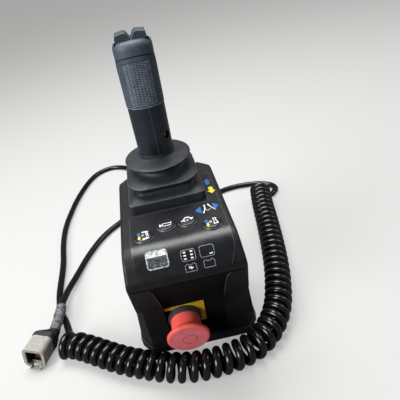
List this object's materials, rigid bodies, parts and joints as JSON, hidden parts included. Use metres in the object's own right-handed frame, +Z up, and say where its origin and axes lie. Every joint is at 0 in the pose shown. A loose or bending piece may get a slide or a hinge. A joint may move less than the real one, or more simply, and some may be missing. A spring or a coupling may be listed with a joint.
{
  "type": "platform control box",
  "caption": "Hand-held platform control box with a sprung joystick, push buttons, mushroom stop button and a coiled cable ending in a sealed rectangular connector.",
  "frame": {"origin": "on the underside of the base cover, below the joystick's pivot in Y and in the middle of the housing in X", "axes": "+X to the user's right, +Y away from the user, +Z up along the joystick at rest"},
  "size_m": [0.3523, 0.4832, 0.2934],
  "materials": {
    "housing_plastic": "fine moulded texture",
    "cover_plastic": "moulded",
    "membrane": "satin printed film",
    "window_film": "satin film",
    "button_plastic": "satin",
    "boot_rubber": "matte moulded",
    "grip_plastic": "matte moulded",
    "rocker_plastic": "matte moulded",
    "stop_red": "satin moulded",
    "stop_grey": "moulded",
    "plate_yellow": "printed film",
    "cable_jacket": "smooth glossy jacket",
    "sleeve_rubber": "shrunk sleeve",
    "boot_black": "matte moulded",
    "connector_grey": "moulded",
    "terminal_black": "moulded",
    "wedge_orange": "moulded",
    "steel": "zinc plated",
    "brass": "turned",
    "board_green": "solder resist",
    "electronics": "moulded",
    "gasket_rubber": "soft"
  },
  "bodies": {
    "box": {"housing": "housing_plastic", "base_cover": "cover_plastic", "base_screws": "steel", "cover_inserts": "brass", "panel_overlay": "membrane", "display_window": "window_film", "display_module": "electronics", "circuit_board": "board_green", "board_screws": "steel", "board_header": "electronics", "boot": "boot_rubber", "boot_clamp": "steel", "clamp_screws": "steel", "joystick_bracket": "steel", "pivot_bushes": "brass", "centring_springs": "steel", "angle_sensor": "electronics", "stop_plate": "plate_yellow", "stop_collar": "stop_grey", "stop_gasket": "gasket_rubber", "stop_nut": "steel", "contact_block": "electronics", "cable_gland": "cover_plastic", "gland_nut": "cover_plastic", "gland_seal": "gasket_rubber", "lead_right": "cable_jacket", "coil": "cable_jacket", "lead_left": "cable_jacket", "shrink_sleeve": "sleeve_rubber", "connector_boot": "boot_black", "connector_shell": "connector_grey", "connector_latch": "connector_grey", "terminal_block": "terminal_black", "wedge_lock": "wedge_orange"},
    "lever": {"pivot_pin": "steel", "lever_hub": "steel", "lever_shaft": "steel", "handle_grip": "grip_plastic", "handle_cap": "grip_plastic", "grip_pad": "grip_plastic", "handle_screw": "steel", "rocker_pin": "steel", "trigger_pin": "steel"},
    "thumb_rocker": {"rocker": "rocker_plastic"},
    "hand_trigger": {"trigger": "rocker_plastic"},
    "lift_key": {"lift_button": "button_plastic"},
    "horn_key": {"horn_button": "button_plastic"},
    "slow_key": {"slow_button": "button_plastic"},
    "drive_key": {"drive_button": "button_plastic"},
    "stop_knob": {"stop_head": "stop_red", "stop_plunger": "electronics"}
  },
  "joints": [
    {"name": "lever_tilt", "type": "hinge", "parent": "box", "child": "lever", "pos_m": [-0.0018, 0, 0.15], "axis": [1, 0, 0], "range_deg": [-20, 20], "stiffness_Nm_per_rad": 1.5, "deforming": ["boot"]},
    {"name": "rocker_tilt", "type": "hinge", "parent": "lever", "child": "thumb_rocker", "pos_m": [-0.0018, 0, 0.282], "axis": [0, 1, 0], "range_deg": [-8, 8], "stiffness_Nm_per_rad": 0.1},
    {"name": "trigger_pull", "type": "hinge", "parent": "lever", "child": "hand_trigger", "pos_m": [-0.0018, 0.0082, 0.25798], "axis": [1, 0, 0], "range_deg": [-12, 0], "stiffness_Nm_per_rad": 0.1},
    {"name": "lift_press", "type": "slide", "parent": "box", "child": "lift_key", "axis": [0, 0, -1], "range_m": [0, 0.0008], "stiffness_N_per_m": 600},
    {"name": "horn_press", "type": "slide", "parent": "box", "child": "horn_key", "axis": [0, 0, -1], "range_m": [0, 0.0008], "stiffness_N_per_m": 600},
    {"name": "slow_press", "type": "slide", "parent": "box", "child": "slow_key", "axis": [0, 0, -1], "range_m": [0, 0.0008], "stiffness_N_per_m": 600},
    {"name": "drive_press", "type": "slide", "parent": "box", "child": "drive_key", "axis": [0, 0, -1], "range_m": [0, 0.0008], "stiffness_N_per_m": 600},
    {"name": "stop_press", "type": "slide", "parent": "box", "child": "stop_knob", "axis": [0, 0.9938, 0.1115], "range_m": [0, 0.0045]}
  ]
}
